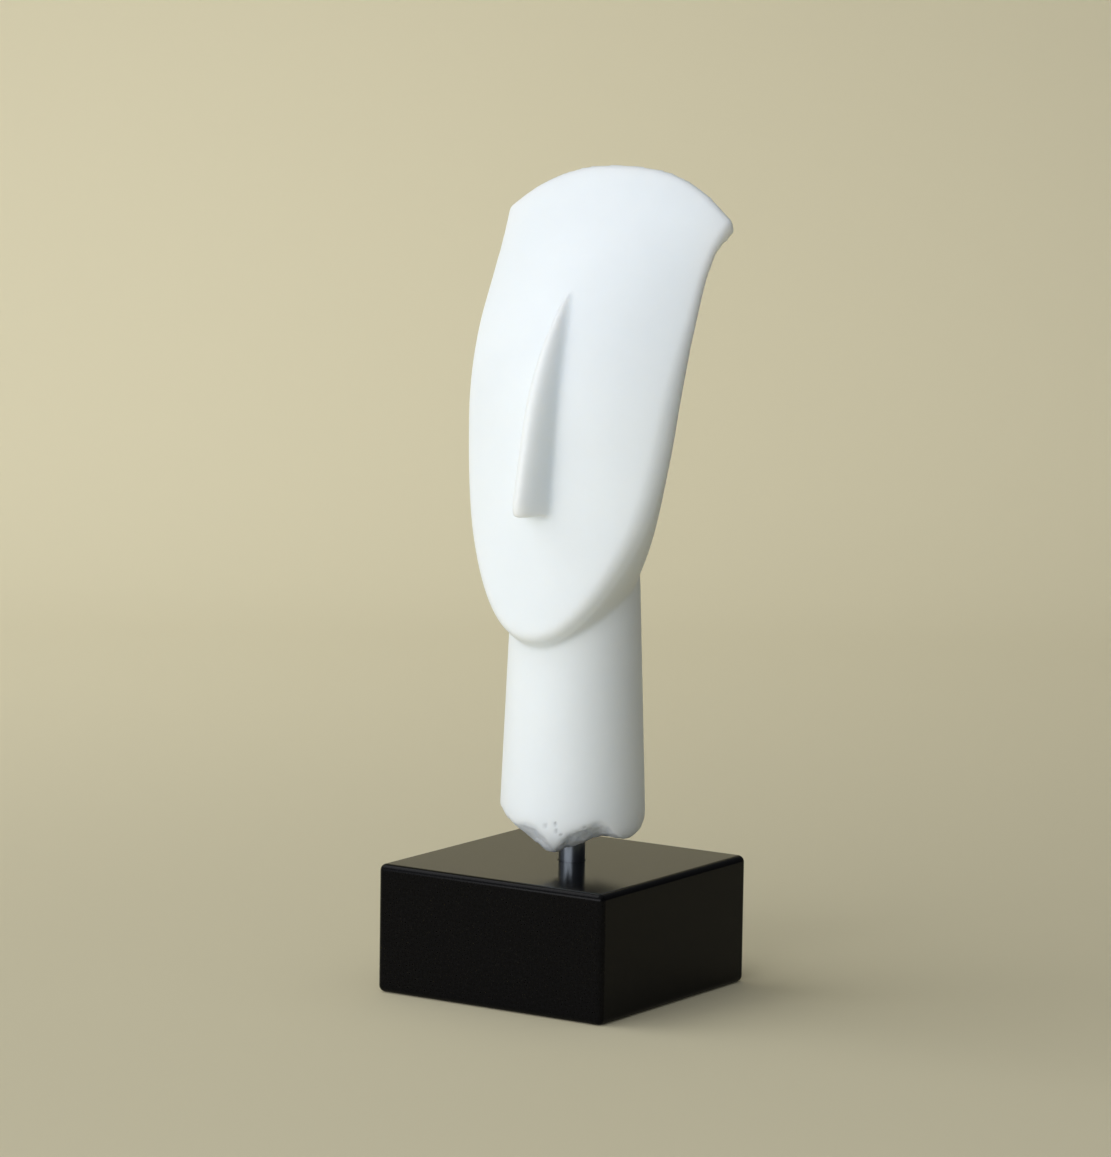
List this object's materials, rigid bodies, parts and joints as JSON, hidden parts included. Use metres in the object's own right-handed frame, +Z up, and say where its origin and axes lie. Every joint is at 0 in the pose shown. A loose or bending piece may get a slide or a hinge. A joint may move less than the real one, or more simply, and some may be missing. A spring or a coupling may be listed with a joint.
{
  "type": "cycladic figurine head on a plinth",
  "caption": "White marble head of a folded-arm island figurine, broken at the neck, on a steel rod in a square polished black stone plinth.",
  "frame": {"origin": "middle of the plinth's flat underside", "axes": "+Z up, -Y the way the face looks, +X towards the figure's left cheek, which is on the right seen from the front"},
  "size_m": [0.082, 0.08, 0.2465],
  "materials": {
    "marble": "fine-grained white marble, smoothed to a soft satin, rough where it is broken",
    "rod_steel": "bright round steel rod",
    "black_stone": "fine-grained black stone polished to a mirror"
  },
  "bodies": {
    "root": {"marble_head": "marble", "steel_rod": "rod_steel", "stone_plinth": "black_stone"}
  },
  "joints": []
}
